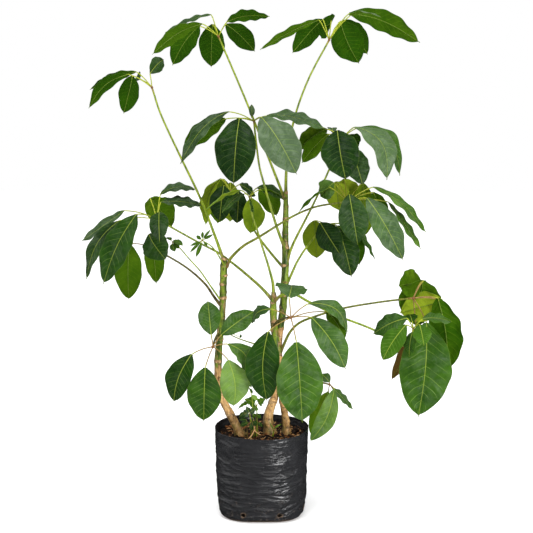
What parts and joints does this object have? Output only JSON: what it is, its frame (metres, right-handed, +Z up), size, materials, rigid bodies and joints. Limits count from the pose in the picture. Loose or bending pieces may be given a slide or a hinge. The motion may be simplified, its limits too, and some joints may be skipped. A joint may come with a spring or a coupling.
{
  "type": "potted umbrella plant",
  "caption": "Umbrella plant with bare upright stems and long-stalked whorls of drooping leaflets, standing in a soft black nursery bag of soil.",
  "frame": {"origin": "on the floor under the middle of the bag", "axes": "+Z up along the stems; +X to the right of a person facing the plant, who looks along +Y"},
  "size_m": [1.0117, 0.5262, 1.3737],
  "materials": {
    "bag_film": "wrinkled charcoal polythene film, semi-gloss",
    "potting_soil": "dark bark chips and fibres",
    "stem_bark": "tan-brown bark, green above, with pale leaf scars",
    "leaf_fresh": "smooth waxy bright green, satin",
    "leaf_mid": "smooth waxy mid green, satin",
    "leaf_old": "smooth waxy dark green with a dusty bloom, satin"
  },
  "bodies": {
    "root": {"nursery_bag": "bag_film", "soil": "potting_soil", "stem_left": "stem_bark", "stem_tall": "stem_bark", "stem_short": "stem_bark", "leaf_top_left": "leaf_fresh", "leaf_top_right": "leaf_fresh", "leaf_far_left": "leaf_fresh", "leaf_high_centre": "leaf_old", "leaf_high_right": "leaf_old", "leaf_mid_right": "leaf_old", "leaf_mid_right_back": "leaf_old", "leaf_mid_left": "leaf_old", "leaf_lower_left": "leaf_old", "leaf_young_left": "leaf_fresh", "young_sprig": "leaf_fresh", "leaf_mid_centre": "leaf_old", "leaf_back_centre": "leaf_old", "leaf_far_right": "leaf_old", "leaf_young_right": "leaf_fresh", "leaf_front_centre": "leaf_mid", "leaf_front_left": "leaf_mid", "leaf_low_right": "leaf_mid", "bare_stalk": "leaf_old", "weed_bright": "leaf_fresh", "weed_dark": "leaf_old", "grass_tuft": "leaf_fresh"}
  },
  "joints": []
}
